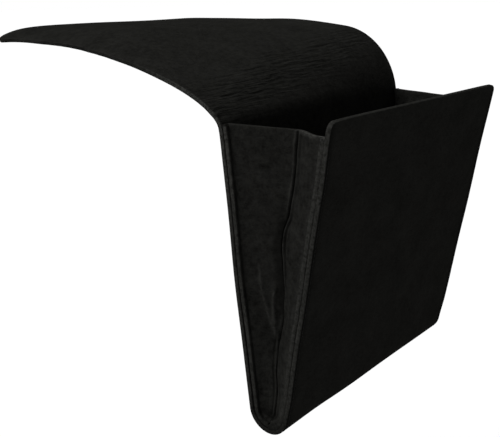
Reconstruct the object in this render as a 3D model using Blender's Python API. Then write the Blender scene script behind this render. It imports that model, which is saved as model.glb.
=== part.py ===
"""Felt bedside organizer: a pocket that hangs from a flap tucked under the mattress.

Metres, +Z up. X runs across the pocket and +Y points into the bed. The origin lies on the
flap's flat underside, in the middle of the width, where the flap rests on the bed base.
One long sheet of felt makes the flap, back, bottom and front; a folded gusset closes each side.
"""

import math

import bmesh
import bpy
import numpy as np
from mathutils import Matrix, Vector

# Felt sheet
WIDTH = 0.250
FELT = 0.0035
JOIN_GAP = 0.0003

# Front panel, leaning out at the top
FRONT_LENGTH = 0.2378
FRONT_LEAN = math.radians(9.6)
FRONT_CORNER_RADIUS = 0.006

# Bottom fold, on the middle of the felt
FOLD_RADIUS = 0.0170

# Back panel, leaning back at the top
BACK_LENGTH = 0.2218
BACK_LEAN = math.radians(6.1)

# Bend from the back panel into the flap, on the far side: a round bend that eases out flat
BEND_RADIUS = 0.0678
EASE_RADIUS = 0.640
EASE_TURN = math.radians(8.0)

# The same bend on the near side, where the felt is creased tighter and sags
CREASE_RADIUS = 0.0136
CREASE_TURN = math.radians(53.1)
SAG_RADIUS = 0.240
SAG_TURN = math.radians(15.7)
SAG_EASE_RADIUS = 0.630

# Flap, measured along the felt from the top of the back panel
FLAP_LENGTH = 0.3030
BEND_LENGTH = 0.112
FLAT_START = 0.200
FLAP_CORNER_RADIUS = 0.014
SPREAD_START = 0.060
CURL_WIDTH = 0.078
CURL_POWER = 3

# Fold axis, above the top of the back panel and behind the middle of its felt
HINGE_RISE = 0.0210
HINGE_SET = 0.0080

# Gussets: the strip sewn flat to the main sheet, the web behind it and its inward crease
SEAM_ALLOWANCE = 0.0042
GUSSET_TOP_DROP = 0.012
GUSSET_BACK_RISE = 0.003
GUSSET_FOOT_TURN = math.radians(14.0)
WEB_TURN = 0.0022
CREASE_DEPTH = 0.0110
CREASE_NOSE = 0.0030
CREASE_TOP_SHARE = 0.62
CREASE_FOOT_SHARE = 0.44
CREASE_FADE_LENGTH = 0.070

# Facets
FLAP_ROWS = 15
FLAP_COLUMNS = 20
BEND_ROWS = 17
FOLD_ROWS = 12
CORNER_STEPS = 6
GUSSET_ROWS = 13
GUSSET_FOOT_ROWS = 4
LEAF_STEPS = 4

BACK_HEADING = math.pi / 2 - BACK_LEAN
FAR_BEND_TURN = BACK_HEADING - EASE_TURN
NEAR_EASE_TURN = BACK_HEADING - CREASE_TURN - SAG_TURN
HALF_WIDTH = WIDTH / 2
HALF_FELT = FELT / 2

FAR_RUNS = (
    (BEND_RADIUS * FAR_BEND_TURN, FAR_BEND_TURN),
    (EASE_RADIUS * EASE_TURN, EASE_TURN),
)
NEAR_RUNS = (
    (CREASE_RADIUS * CREASE_TURN, CREASE_TURN),
    (SAG_RADIUS * SAG_TURN, SAG_TURN),
    (SAG_EASE_RADIUS * NEAR_EASE_TURN, NEAR_EASE_TURN),
)


def follow(runs, distance):
    """Point reached after a distance along arcs that turn down from the back panel's heading."""
    heading = BACK_HEADING
    done = 0.0
    y = np.zeros_like(distance)
    z = np.zeros_like(distance)
    for length, turn in runs:
        angle = np.clip((distance - done) / length, 0.0, 1.0) * turn
        radius = length / turn
        y = y + radius * (math.sin(heading) - np.sin(heading - angle))
        z = z + radius * (np.cos(heading - angle) - math.cos(heading))
        heading -= turn
        done += length
    return y + np.maximum(distance - done, 0.0), z


def smooth_step(value):
    """Rise from 0 to 1 with level ends."""
    value = np.clip(value, 0.0, 1.0)
    return value * value * (3.0 - 2.0 * value)


def flap_middle(distance, x):
    """Middle of the felt on the bend and flap, before the move to the origin."""
    far_y, far_z = follow(FAR_RUNS, distance)
    near_y, near_z = follow(NEAR_RUNS, distance)
    across = (x + HALF_WIDTH) / WIDTH
    twist = 1.0 - across
    curl = np.clip(1.0 - (x + HALF_WIDTH) / CURL_WIDTH, 0.0, 1.0) ** CURL_POWER
    spread = smooth_step((distance - SPREAD_START) / (FLAT_START - SPREAD_START))
    sag = twist + (curl - twist) * spread
    return np.stack([x, far_y + (near_y - far_y) * twist, far_z + (near_z - far_z) * sag], axis=-1)


def mount_place():
    """The point of the flap's underside that becomes the origin."""
    middle = flap_middle(np.array([(FLAT_START + FLAP_LENGTH) / 2]), np.array([0.0]))[0]
    return middle - np.array([0.0, 0.0, HALF_FELT])


ORIGIN = mount_place()


def pocket_middle(distance):
    """Place (y, z) and inward normal on the sheet, going down from the top of the back panel."""
    down = BACK_HEADING + math.pi
    fold_turn = math.pi - FRONT_LEAN - BACK_LEAN
    along_back = np.clip(distance, None, BACK_LENGTH)
    turned = np.clip((distance - BACK_LENGTH) / FOLD_RADIUS, 0.0, fold_turn)
    along_front = np.maximum(distance - BACK_LENGTH - FOLD_RADIUS * fold_turn, 0.0)
    heading = down - turned
    y = along_back * math.cos(down) + FOLD_RADIUS * (np.sin(down) - np.sin(heading))
    z = along_back * math.sin(down) + FOLD_RADIUS * (np.cos(heading) - np.cos(down))
    y = y + along_front * np.cos(heading) - ORIGIN[1]
    z = z + along_front * np.sin(heading) - ORIGIN[2]
    return y, z, np.sin(heading), -np.cos(heading)


FOLD_LENGTH = FOLD_RADIUS * (math.pi - FRONT_LEAN - BACK_LEAN)
POCKET_LENGTH = BACK_LENGTH + FOLD_LENGTH + FRONT_LENGTH


def flap_fold_axis():
    """A point of the axis on which the pocket swings under the flap."""
    y, z, normal_y, normal_z = pocket_middle(np.array(-HINGE_RISE))
    return Vector((0.0, y - normal_y * HINGE_SET, z - normal_z * HINGE_SET))


def mouth_axis():
    """A point of the axis on which the front panel swings, inside the foot of the front."""
    y, z, normal_y, normal_z = pocket_middle(np.array(BACK_LENGTH + FOLD_LENGTH))
    return Vector((0.0, y + normal_y * HALF_FELT, z + normal_z * HALF_FELT))


def felt_material(name, shade):
    """Plain matt felt of one shade of near black."""
    material = bpy.data.materials.new(name)
    material.use_nodes = True
    shader = material.node_tree.nodes["Principled BSDF"]
    shader.inputs["Base Color"].default_value = (shade, shade, shade * 0.95, 1.0)
    shader.inputs["Roughness"].default_value = 0.95
    shader.inputs["Metallic"].default_value = 0.0
    return material


def add_object(name, bm, material):
    """Turn a bmesh into a named object."""
    bmesh.ops.recalc_face_normals(bm, faces=bm.faces)
    mesh = bpy.data.meshes.new(name)
    bm.to_mesh(mesh)
    bm.free()
    mesh.materials.append(material)
    part = bpy.data.objects.new(name, mesh)
    bpy.context.scene.collection.objects.link(part)
    return part


def set_origin(part, place):
    """Put an object's origin on a point without moving its surface."""
    part.data.transform(Matrix.Translation(-place))
    part.location = place


def skin_solid(name, upper, lower, material):
    """Close two matching grids of points into one solid."""
    rows, columns = upper.shape[:2]
    bm = bmesh.new()
    sheets = []
    for points in (upper, lower):
        sheets.append([[bm.verts.new(point) for point in row] for row in points.tolist()])
    for row in range(rows - 1):
        for column in range(columns - 1):
            for sheet in sheets:
                bm.faces.new((
                    sheet[row][column],
                    sheet[row][column + 1],
                    sheet[row + 1][column + 1],
                    sheet[row + 1][column],
                ))
    rims = []
    for sheet in sheets:
        right = [line[-1] for line in sheet]
        left = [line[0] for line in sheet]
        rims.append(sheet[0][:-1] + right[:-1] + sheet[-1][:0:-1] + left[:0:-1])
    count = len(rims[0])
    for index in range(count):
        following = (index + 1) % count
        bm.faces.new((rims[0][index], rims[0][following], rims[1][following], rims[1][index]))
    return add_object(name, bm, material)


def flap_skins(distances, shares, lefts, rights):
    """Upper and lower skin of a stretch of the bend or flap."""
    distance = np.repeat(distances[:, None], len(shares), axis=1)
    x = lefts[:, None] + (rights - lefts)[:, None] * shares[None, :]
    probe = FELT / 100
    along = flap_middle(distance + probe, x) - flap_middle(distance - probe, x)
    across = flap_middle(distance, x + probe) - flap_middle(distance, x - probe)
    normal = np.cross(across, along)
    normal = normal / np.linalg.norm(normal, axis=-1, keepdims=True)
    middle = flap_middle(distance, x) - ORIGIN
    return middle + normal * HALF_FELT, middle - normal * HALF_FELT


def column_shares():
    """Shares of the width, closer together near the side that curls."""
    even = np.linspace(0.0, 1.0, FLAP_COLUMNS + 1)
    return (even + even * even) / 2


def build_flap(material):
    """The part that goes under the mattress, with two round rear corners."""
    straight_end = FLAP_LENGTH - FLAP_CORNER_RADIUS
    corner = np.linspace(0.0, math.pi / 2, CORNER_STEPS + 1)[1:]
    body = np.linspace(BEND_LENGTH + JOIN_GAP / 2, straight_end, FLAP_ROWS)
    distances = np.concatenate([body, straight_end + FLAP_CORNER_RADIUS * np.sin(corner)])
    tuck = FLAP_CORNER_RADIUS * (1.0 - np.cos(corner))
    tuck = np.concatenate([np.zeros(FLAP_ROWS), tuck])
    upper, lower = flap_skins(distances, column_shares(), tuck - HALF_WIDTH, HALF_WIDTH - tuck)
    return skin_solid("flap", upper, lower, material)


def build_flap_bend(material):
    """The living hinge between the back panel and the flap."""
    even = np.linspace(0.0, 1.0, BEND_ROWS)
    start = JOIN_GAP / 2
    distances = start + (BEND_LENGTH - JOIN_GAP) * (even + even * even) / 2
    edge = np.full(BEND_ROWS, HALF_WIDTH)
    upper, lower = flap_skins(distances, column_shares(), -edge, edge)
    return skin_solid("flap_bend", upper, lower, material)


def pocket_skins(distances, xs):
    """Inner and outer skin of a stretch of the pocket's sheet."""
    y, z, normal_y, normal_z = pocket_middle(distances)
    skins = []
    for side in (HALF_FELT, -HALF_FELT):
        grid = np.empty((len(distances), len(xs), 3))
        grid[:, :, 0] = xs[None, :]
        grid[:, :, 1] = (y + normal_y * side)[:, None]
        grid[:, :, 2] = (z + normal_z * side)[:, None]
        skins.append(grid)
    return skins


def build_back_panel(material):
    """The flat panel that lies against the side of the bed."""
    distances = np.array([JOIN_GAP / 2, BACK_LENGTH - JOIN_GAP / 2])
    inner, outer = pocket_skins(distances, np.array([-HALF_WIDTH, HALF_WIDTH]))
    return skin_solid("back_panel", inner, outer, material)


def build_bottom_fold(material):
    """The round fold that closes the pocket's foot."""
    start = BACK_LENGTH + JOIN_GAP / 2
    distances = np.linspace(start, start + FOLD_LENGTH - JOIN_GAP, FOLD_ROWS)
    inner, outer = pocket_skins(distances, np.array([-HALF_WIDTH, HALF_WIDTH]))
    return skin_solid("bottom_fold", inner, outer, material)


def build_front_panel(material):
    """The flat front with two small round top corners."""
    round_start = POCKET_LENGTH - FRONT_CORNER_RADIUS
    corner = np.linspace(0.0, math.pi / 2, CORNER_STEPS + 1)
    rise = round_start + FRONT_CORNER_RADIUS * np.sin(corner)
    tuck = FRONT_CORNER_RADIUS * (1.0 - np.cos(corner))
    foot = BACK_LENGTH + FOLD_LENGTH + JOIN_GAP / 2
    distances = np.concatenate([[foot], rise])
    reach = HALF_WIDTH - np.concatenate([[0.0], tuck])
    skins = []
    for grid in pocket_skins(distances, np.array([-1.0, 1.0])):
        grid[:, :, 0] *= reach[:, None]
        skins.append(grid)
    return skin_solid("front_panel", skins[0], skins[1], material)


def gusset_row(back_distance, front_distance, depth, crease_share):
    """Middle line of a gusset at one level, from the back edge to the front edge.

    Each row of the result is (inset from the side edge, y, z).
    """
    seats = []
    for distance in (back_distance, front_distance):
        y, z, normal_y, normal_z = (float(value) for value in pocket_middle(np.array(distance)))
        lift = FELT + JOIN_GAP
        seat = np.array([y + normal_y * lift, z + normal_z * lift])
        seats.append((seat, np.array([normal_y, normal_z])))
    back_seat, front_seat = seats[0][0], seats[1][0]
    back_web = back_seat + seats[0][1] * WEB_TURN
    front_web = front_seat + seats[1][1] * WEB_TURN
    nose = back_web + (front_web - back_web) * crease_share
    points = [(0.0, back_seat), (SEAM_ALLOWANCE, back_seat)]
    web_inset = SEAM_ALLOWANCE + WEB_TURN
    for step in range(LEAF_STEPS):
        share = step / LEAF_STEPS
        points.append((web_inset + depth * share, back_web + (nose - back_web) * share))
    points.append((web_inset + depth, nose))
    for step in range(LEAF_STEPS):
        share = (step + 1) / LEAF_STEPS
        points.append((web_inset + depth * (1.0 - share), nose + (front_web - nose) * share))
    points += [(SEAM_ALLOWANCE, front_seat), (0.0, front_seat)]
    return np.array([(inset, place[0], place[1]) for inset, place in points])


def gusset_middle():
    """Grid of the gusset's middle surface, from its top edge down to the bottom fold."""
    straight = np.linspace(0.0, 1.0, GUSSET_ROWS)
    back_top = -GUSSET_BACK_RISE
    front_top = POCKET_LENGTH - GUSSET_TOP_DROP
    fold_start = BACK_LENGTH
    fold_end = BACK_LENGTH + FOLD_LENGTH
    half_fold = FOLD_LENGTH / 2
    foot_travel = half_fold - FOLD_RADIUS * GUSSET_FOOT_TURN
    foot = np.linspace(0.0, foot_travel, GUSSET_FOOT_ROWS + 1)[1:]
    backs = np.concatenate([back_top + (fold_start - back_top) * straight, fold_start + foot])
    fronts = np.concatenate([front_top + (fold_end - front_top) * straight, fold_end - foot])
    rows = []
    for back, front in zip(backs, fronts):
        level = min(back / fold_start, 1.0)
        share = CREASE_TOP_SHARE + (CREASE_FOOT_SHARE - CREASE_TOP_SHARE) * level
        left_below = max(fold_start - back, 0.0)
        fade = math.sin(min(left_below / CREASE_FADE_LENGTH, 1.0) * math.pi / 2)
        rows.append(gusset_row(back, front, CREASE_NOSE + (CREASE_DEPTH - CREASE_NOSE) * fade, share))
    return np.array(rows)


def build_gusset(name, side, material):
    """A side gusset; side is -1 on the near side and 1 on the far side."""
    middle = gusset_middle()
    middle[:, :, 0] = side * (HALF_WIDTH - middle[:, :, 0])
    down = np.gradient(middle, axis=0)
    across = np.gradient(middle, axis=1)
    normal = np.cross(down, across)
    normal = normal / np.linalg.norm(normal, axis=-1, keepdims=True)
    return skin_solid(name, middle + normal * HALF_FELT, middle - normal * HALF_FELT, material)


def main():
    """Clear the scene and build the organizer."""
    for old in list(bpy.data.objects):
        bpy.data.objects.remove(old, do_unlink=True)
    build_flap(felt_material("flap_felt", 0.012))
    build_flap_bend(felt_material("bend_felt", 0.012))
    hanging = [
        build_back_panel(felt_material("back_felt", 0.010)),
        build_bottom_fold(felt_material("fold_felt", 0.010)),
        build_gusset("left_gusset", -1, felt_material("left_gusset_felt", 0.011)),
        build_gusset("right_gusset", 1, felt_material("right_gusset_felt", 0.011)),
    ]
    for part in hanging:
        set_origin(part, flap_fold_axis())
    set_origin(build_front_panel(felt_material("front_felt", 0.007)), mouth_axis())


main()
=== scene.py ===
"""Looks of a felt bedside organizer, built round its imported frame.

Metres, +Z up. X runs across the pocket, +Y points into the bed, and the origin lies on the
flap's flat underside. A place on the one long sheet of felt is given as (x, along), where
along is 0 at the top of the back panel, grows over the bend to the flap's rear edge, and
falls below 0 down the back, round the bottom fold and up the front.
"""

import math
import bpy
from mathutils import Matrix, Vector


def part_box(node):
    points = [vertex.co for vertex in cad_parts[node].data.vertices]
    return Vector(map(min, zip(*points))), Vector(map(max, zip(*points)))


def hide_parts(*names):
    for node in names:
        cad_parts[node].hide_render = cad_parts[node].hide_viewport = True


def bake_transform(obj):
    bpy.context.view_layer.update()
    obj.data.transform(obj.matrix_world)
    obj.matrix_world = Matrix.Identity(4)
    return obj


bl_info = {
    "name": "Felt Bedside Organizer",
    "version": (1, 0, 0),
    "blender": (4, 5, 0),
    "location": "3D View > Sidebar > Organizer",
    "description": "Felt pocket on a flap, with folded side gussets, sewn seams and a plain studio",
    "category": "Object",
}

import bpy
import numpy as np
from bpy.props import FloatProperty, FloatVectorProperty, IntProperty, PointerProperty

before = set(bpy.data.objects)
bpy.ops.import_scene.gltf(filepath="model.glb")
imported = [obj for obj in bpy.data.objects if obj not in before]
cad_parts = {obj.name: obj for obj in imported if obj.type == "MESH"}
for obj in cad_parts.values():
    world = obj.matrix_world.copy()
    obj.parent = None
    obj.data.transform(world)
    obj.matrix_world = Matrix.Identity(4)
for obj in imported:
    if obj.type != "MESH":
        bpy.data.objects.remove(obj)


# Sizes and colours


def length(name, description, default):
    """A length in metres."""
    return FloatProperty(name=name, description=description, default=default, precision=5, unit="LENGTH")


def turn(name, description, degrees):
    """An angle, kept in radians."""
    return FloatProperty(name=name, description=description, default=math.radians(degrees), subtype="ANGLE")


def number(name, description, default):
    """A plain number without a unit."""
    return FloatProperty(name=name, description=description, default=default)


def triple(name, description, subtype, default):
    """Three numbers that make a direction, a place or a turn."""
    return FloatVectorProperty(name=name, description=description, default=default, size=3, subtype=subtype)


def tint(name, description, default):
    """A linear colour without alpha."""
    return FloatVectorProperty(
        name=name, description=description, default=default, size=3, subtype="COLOR", min=0.0, max=1.0
    )


class SheetSizes(bpy.types.PropertyGroup):
    """The long sheet of felt that makes the flap, bend, back, bottom fold and front."""

    width: length("Width", "Width of the sheet", 0.251)
    felt: length("Felt thickness", "Thickness of the felt", 0.0035)
    front_length: length("Front length", "Height of the front along the felt", 0.2378)
    front_lean: turn("Front lean", "How far the front's top leans away from the bed", 9.6)
    front_corner: length("Front corner radius", "Radius of the front's two top corners", 0.006)
    fold_radius: length("Fold radius", "Radius of the bottom fold at the middle of the felt", 0.0170)
    back_length: length("Back length", "Height of the back along the felt", 0.2218)
    back_lean: turn("Back lean", "How far the back's top leans towards the bed", 6.1)
    bend_radius: length("Bend radius", "Radius of the bend at the far side", 0.0678)
    ease_radius: length("Bend ease radius", "Radius on which the far bend runs out flat", 0.640)
    ease_turn: turn("Bend ease turn", "Turn left for the far bend's run-out", 8.0)
    crease_radius: length("Near crease radius", "Radius of the tight bend at the near side", 0.0136)
    crease_turn: turn("Near crease turn", "Turn of the tight bend at the near side", 53.1)
    sag_radius: length("Near sag radius", "Radius of the sag after the near bend", 0.240)
    sag_turn: turn("Near sag turn", "Turn of the sag after the near bend", 15.7)
    sag_ease_radius: length("Near ease radius", "Radius on which the near sag runs out", 0.630)
    flap_length: length("Flap length", "Length of the bend and flap along the felt", 0.3030)
    flap_corner: length("Flap corner radius", "Radius of the flap's two rear corners", 0.014)
    flat_start: length("Flat start", "Distance along the felt where the flap is flat", 0.200)
    spread_start: length("Spread start", "Distance along the felt where the sag starts to fade", 0.060)
    curl_width: length("Curl width", "Width of the strip that curls down at the near side", 0.078)
    curl_power: IntProperty(name="Curl power", description="How sharply the near side curls", default=3)
    split_drop: length("Split drop", "Distance below the back's top where the two meshes meet", 0.110)
    edge_round: length("Cut edge rounding", "Rounding of the felt's cut edges", 0.0006)
    pitch: length("Grid pitch", "Distance between the rows and columns of the grid", 0.0025)
    bend_pitch: length("Bend pitch", "Distance between the rows in the bend", 0.0009)
    crinkle_height: length("Crinkle height", "Height of the crinkles in the bend's outer face", 0.00060)
    crinkle_centre: length("Crinkle centre", "Distance of the crinkles above the back's top", 0.046)
    crinkle_climb: number("Crinkle climb", "Rise of the crinkled zone across", 0.20)
    crinkle_reach: length("Crinkle reach", "Half width of the crinkled zone", 0.022)
    crinkle_slant: number("Crinkle slant", "Slant of each crinkle", 0.10)
    wave_depth: length("Wave depth", "Height of the slow waves in the felt", 0.00035)
    cut_wander: length("Cut wander", "How far the cut edge strays from a straight line", 0.00016)
    flare_width: length("Flare width", "Width of the strip that flares at the front's sides", 0.024)
    flare_depth: length("Flare depth", "How far the front's side edges flare outwards", 0.0009)
    back_bow: length("Back bow", "How far the middle of the back bows outwards", 0.0013)
    edge_drop: length("Near edge drop", "How far the flap's near edge hangs below the flap", 0.0012)
    end_drop: length("End drop", "How far the flap's near rear corner hangs below the flap", 0.0027)
    crease_ease: length("Near crease ease", "How far the near crease sinks in at its middle", 0.0014)
    fold_lift: length("Fold lift", "How far the bottom fold rises behind the near foot", 0.0010)
    near_tuck: length("Near tuck", "How far the front's near side stands in towards the back", 0.0012)


class GussetSizes(bpy.types.PropertyGroup):
    """The folded strips of felt that close the two sides."""

    join_gap: length("Join gap", "Widest gap between a gusset's strips and the sheet", 0.0009)
    strip: length("Strip width", "Width of the flat strips that are sewn to the sheet", 0.0029)
    web_turn: length("Web turn", "Radius of the turn from a strip into the web", 0.0019)
    front_step: length("Front edge step", "How far the front strip's edge lies inside the sheet's", 0.0002)
    back_step: length("Back edge step", "How far the back strip's edge lies inside the sheet's", 0.0007)
    top_drop: length("Top drop", "How far the top edge lies below the front's top", 0.012)
    back_rise: length("Back rise", "How far the top edge rises above the back's top", 0.003)
    foot_turn: turn("Foot turn", "Half of the turn left open between the strips at the foot", 1.0)
    leaf_depth: length("Leaf depth", "How far the two leaves lean inwards at the crease", 0.0104)
    groove_depth: length("Groove depth", "Depth of the pressed crease in the felt's outer face", 0.0012)
    groove_width: length("Groove width", "Half width of the pressed crease", 0.0007)
    ridge_height: length("Ridge height", "Height of the ridges on both sides of the crease", 0.0010)
    ridge_width: length("Ridge width", "Half width of the ridges and puckers", 0.0011)
    ridge_reach: length("Ridge reach", "Distance of the ridges from the crease", 0.0021)
    second_reach: length("Second groove reach", "Distance of the groove in front of the crease", 0.0044)
    low_reach: length("Low groove reach", "Distance of the low groove behind the crease", 0.0034)
    dip_depth: length("Dip depth", "How far the back leaf dips before the crease", 0.0008)
    nose: length("Foot depth", "Depth that is left of the crease at the foot", 0.0030)
    fade_length: length("Fade length", "Length over which the crease fades out above the foot", 0.060)
    pucker_height: length("Pucker height", "Height of the puckers low on the back leaf", 0.0015)
    pucker_width: length("Pucker width", "Half width of the puckers", 0.0016)
    wave_depth: length("Wave depth", "Height of the slow waves in the web", 0.0005)


class SeamSizes(bpy.types.PropertyGroup):
    """The two sewn side seams."""

    inset: length("Seam inset", "Distance of the stitches from the side edge", 0.0028)
    pitch: length("Stitch pitch", "Distance from one stitch to the next", 0.0036)
    stitch: length("Stitch length", "Length of one stitch", 0.0030)
    thread: length("Thread width", "Thickness of the thread", 0.00055)
    sink: length("Sink", "How far the thread's middle lies below the felt's face", 0.00012)
    dimple: length("Dimple", "How deep the seam is drawn into the felt", 0.00030)
    dimple_width: length("Dimple width", "Half width of the drawn-in line", 0.0011)


class Finish(bpy.types.PropertyGroup):
    """Linear colours of the felt and the thread."""

    felt_dark: tint("Felt, dark fibres", "Colour between the fibres", (0.0043, 0.0043, 0.0039))
    felt_light: tint("Felt, light fibres", "Colour of the fibres on top", (0.0193, 0.0193, 0.0176))
    # Also the colour of the painted highlights on edges, ridges and turns.
    edge_and_highlight: tint("Cut edge", "Colour of the loose fibres at a cut edge", (0.0440, 0.0440, 0.0408))
    thread_dark: tint("Thread, dark", "Colour between the thread's plies", (0.0020, 0.0020, 0.0019))
    thread_light: tint("Thread, light", "Colour of the thread's plies", (0.0060, 0.0060, 0.0056))


# The camera's tilt, roll and heading
CAMERA_TURN = tuple(math.radians(degrees) for degrees in (73.3301, 1.1435, -49.6663))


class Studio(bpy.types.PropertyGroup):
    """Floor, lights and camera."""

    floor_drop: length("Floor drop", "Distance from the pocket's foot down to the floor", 0.420)
    floor_reach: length("Floor reach", "Half of the floor's side", 40.0)
    floor_colour: tint("Floor colour", "Colour of the floor", (0.55, 0.55, 0.55))
    floor_glow: number("Floor glow", "White that the floor adds where it is looked at", 0.42)
    ambient: number("Ambient", "Light from all round", 0.20)
    key_light: number("Key light", "Strength of the soft light", 3.46)
    key_spread: turn("Key spread", "How wide the soft light looks from the object", 50.0)
    key_way: triple("Key direction", "Direction towards the soft light", "DIRECTION", (-0.38, 0.40, 0.84))
    lens: number("Lens", "Focal length in millimetres", 54.0)
    camera_place: triple("Camera place", "Where the camera stands", "TRANSLATION", (-0.5230, -0.5970, 0.0290))
    camera_turn: triple("Camera turn", "How the camera is turned", "EULER", CAMERA_TURN)


# Shapes of the felt


def ramp(value, start=0.0, width=1.0):
    """Rise from 0 to 1 with level ends, 3 v squared minus 2 v cubed; a fall where width is negative."""
    value = np.clip((value - start) / width, 0.0, 1.0)
    return value * value * (3.0 - 2.0 * value)


def bell(value, centre=0.0, width=1.0):
    """Bell curve of height 1: e to the power of minus v squared."""
    value = (value - centre) / width
    return np.exp(-value * value)


def waves(across, along, longest, seed):
    """Slow waves of about plus and minus 1: a third of the sum of eight plane sine waves.

    Each has a random direction and phase, and a wavelength from 0.35 to 1 times the longest.
    """
    chance = np.random.default_rng(seed)
    total = np.zeros(np.broadcast(across, along).shape)
    for heading, phase, scale in chance.uniform(size=(8, 3)):
        wavelength = longest * (0.35 + 0.65 * scale)
        reach = across * math.cos(heading * math.pi) + along * math.sin(heading * math.pi)
        total = total + np.sin(2.0 * math.pi * (reach / wavelength + phase))
    return total / 3.0


def follow(size, runs, distance):
    """Point (y, z) reached along arcs that turn down from the back panel's heading.

    Each arc of radius r turns from heading h to h - a: y grows by r (sin h - sin(h - a)) and
    z by r (cos(h - a) - cos h). After the last arc the path runs on level.
    """
    heading = math.pi / 2 - size.back_lean
    done = 0.0
    y = np.zeros_like(distance)
    z = np.zeros_like(distance)
    for arc_length, arc_turn in runs:
        angle = np.clip((distance - done) / arc_length, 0.0, 1.0) * arc_turn
        radius = arc_length / arc_turn
        y = y + radius * (math.sin(heading) - np.sin(heading - angle))
        z = z + radius * (np.cos(heading - angle) - math.cos(heading))
        heading -= arc_turn
        done += arc_length
    return y + np.maximum(distance - done, 0.0), z


def bend_middle(size, distance, x):
    """Middle of the felt on the bend and flap, measured from the top of the back panel.

    The far side's path blends into the near side's across the width. Towards the flap's rear
    only a curl along the near edge is left of the near side's sag.
    """
    heading = math.pi / 2 - size.back_lean
    far_turn = heading - size.ease_turn
    near_turn = heading - size.crease_turn - size.sag_turn
    far_runs = (
        (size.bend_radius * far_turn, far_turn),
        (size.ease_radius * size.ease_turn, size.ease_turn),
    )
    near_runs = (
        (size.crease_radius * size.crease_turn, size.crease_turn),
        (size.sag_radius * size.sag_turn, size.sag_turn),
        (size.sag_ease_radius * near_turn, near_turn),
    )
    far_y, far_z = follow(size, far_runs, distance)
    near_y, near_z = follow(size, near_runs, distance)
    inset = x + size.width / 2
    twist = 1.0 - inset / size.width
    curl = np.clip(1.0 - inset / size.curl_width, 0.0, 1.0) ** size.curl_power
    spread = ramp(distance, size.spread_start, size.flat_start - size.spread_start)
    sag = twist + (curl - twist) * spread
    return np.stack([x, far_y + (near_y - far_y) * twist, far_z + (near_z - far_z) * sag], axis=-1)


def frame_origin(size):
    """The frame's origin, measured from the top of the back panel: under the flap's middle."""
    middle = np.array([(size.flat_start + size.flap_length) / 2])
    return bend_middle(size, middle, np.zeros(1))[0] - np.array([0.0, 0.0, size.felt / 2])


def fold_length(size):
    """Length of the bottom fold along the middle of the felt."""
    return size.fold_radius * (math.pi - size.front_lean - size.back_lean)


def fold_middle(size):
    """Length of the felt from the back's top to the middle of the bottom fold."""
    return size.back_length + fold_length(size) / 2


def front_foot(size):
    """Length of the felt from the back's top to the foot of the front."""
    return size.back_length + fold_length(size)


def pocket_length(size):
    """Length of the felt from the back's top to the front's top."""
    return front_foot(size) + size.front_length


def pocket_line(size, distance):
    """Place (y, z) and inward normal on the pocket, going down from the back's top.

    A straight run down the back, an arc round the bottom and a straight run up the front.
    """
    origin = frame_origin(size)
    down = math.pi * 1.5 - size.back_lean
    fold_turn = math.pi - size.front_lean - size.back_lean
    radius = size.fold_radius
    on_back = np.minimum(distance, size.back_length)
    turned = np.clip((distance - size.back_length) / radius, 0.0, fold_turn)
    on_front = np.maximum(distance - size.back_length - radius * fold_turn, 0.0)
    heading = down - turned
    y = on_back * math.cos(down) + radius * (math.sin(down) - np.sin(heading))
    z = on_back * math.sin(down) + radius * (np.cos(heading) - math.cos(down))
    y = y + on_front * np.cos(heading) - origin[1]
    z = z + on_front * np.sin(heading) - origin[2]
    return y, z, np.sin(heading), -np.cos(heading)


# Start and width of a ramp, or middle and width of a bell, along the felt or in from its near edge
BACK_BOW = (-0.105, 0.065)
EDGE_HANGS, EDGE_HOLDS, EDGE_STRIP = (0.030, 0.050), (0.280, -0.060), (0.0, 0.030)
CORNER_HANGS, CORNER_STRIP = (0.240, 0.075), (0.0, 0.018)
CREASE_SINKS, CREASE_STRIP = (0.0095, 0.0095), (0.0, 0.045)
FOLD_REACH, FOLD_STRIP = 0.040, (0.050, 0.035)
TUCK_LOW, TUCK_TOP, TUCK_REACH = (0.0, 0.080), (0.190, 0.040), 0.200
# Longest wave and seed of the sheet's waves
SHEET_WAVES = (0.170, 11)


def sheet_swell(size, along, x):
    """How far the felt stands in from its plain path.

    Slow waves, less the back's bow, the drop of the flap's near edge and corner, the sunk near
    crease and the flare of the front's sides, plus the fold's lift and the front's tuck, which
    grows evenly towards the near side that the gusset pulls back.
    """
    near_edge = x + size.width / 2
    up_front = -along - front_foot(size)
    lift = size.wave_depth * waves(x, along, *SHEET_WAVES)
    lift = lift - size.back_bow * bell(along, *BACK_BOW)
    hanging = ramp(along, *EDGE_HANGS) * ramp(along, *EDGE_HOLDS)
    lift = lift - size.edge_drop * hanging * bell(near_edge, *EDGE_STRIP)
    lift = lift - size.end_drop * ramp(along, *CORNER_HANGS) * bell(near_edge, *CORNER_STRIP)
    lift = lift - size.crease_ease * bell(along, *CREASE_SINKS) * bell(near_edge, *CREASE_STRIP)
    lift = lift + size.fold_lift * bell(along, -fold_middle(size), FOLD_REACH) * bell(near_edge, *FOLD_STRIP)
    pulled = ramp(up_front, *TUCK_LOW) + ramp(up_front, *TUCK_TOP)
    lift = lift + size.near_tuck * pulled * np.clip(1.0 - near_edge / TUCK_REACH, 0.0, 1.0)
    inset = size.width / 2 - np.abs(x)
    flare = ramp(up_front, 0.0, size.flare_width) * bell(inset / size.flare_width * 2.0)
    return lift - size.flare_depth * flare


def sheet_plain(size, along, x):
    """Middle of the whole sheet without its swell."""
    above = bend_middle(size, np.maximum(along, 0.0), x) - frame_origin(size)
    y, z, _, _ = pocket_line(size, np.maximum(-along, 0.0))
    below = np.stack([x, y, z], axis=-1)
    return np.where((along > 0.0)[..., None], above, below)


def unit(vectors):
    """Vectors divided by their lengths."""
    return vectors / np.linalg.norm(vectors, axis=-1, keepdims=True)


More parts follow.
